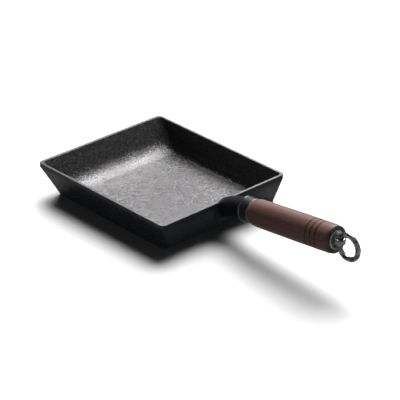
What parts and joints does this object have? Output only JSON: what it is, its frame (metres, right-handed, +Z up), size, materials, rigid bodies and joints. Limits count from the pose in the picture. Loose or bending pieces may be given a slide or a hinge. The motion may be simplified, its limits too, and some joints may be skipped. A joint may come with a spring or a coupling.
{
  "type": "rectangular omelette pan",
  "caption": "Rectangular cast iron omelette pan with sloping walls, a slanted far wall, a turned wooden handle with a ferrule, and a ring to hang it by.",
  "frame": {"origin": "centre of the base's flat resting face", "axes": "+X along the handle, from the dish towards the hanging ring; +Z up, out of the dish's mouth; +Y across the dish"},
  "size_m": [0.3508, 0.1574, 0.0561],
  "materials": {
    "iron": "fine cast texture, the rim ground bright",
    "ferrule_steel": "dark satin",
    "wood": "thin satin varnish",
    "black_metal": "semi-gloss black",
    "bolt_steel": "worn, darkened",
    "ring_steel": "polished wire"
  },
  "bodies": {
    "pan": {"pan_body": "iron", "ferrule": "ferrule_steel", "grip": "wood", "end_plate": "black_metal", "dished_washer": "black_metal", "eye_bolt": "bolt_steel"},
    "ring": {"hanging_ring": "ring_steel"}
  },
  "joints": [
    {"name": "ring_swing", "type": "hinge", "parent": "pan", "child": "ring", "pos_m": [0.22766, 0, 0.04371], "axis": [0.0523, 0, 0.9986], "range_deg": [-60, 60]}
  ]
}
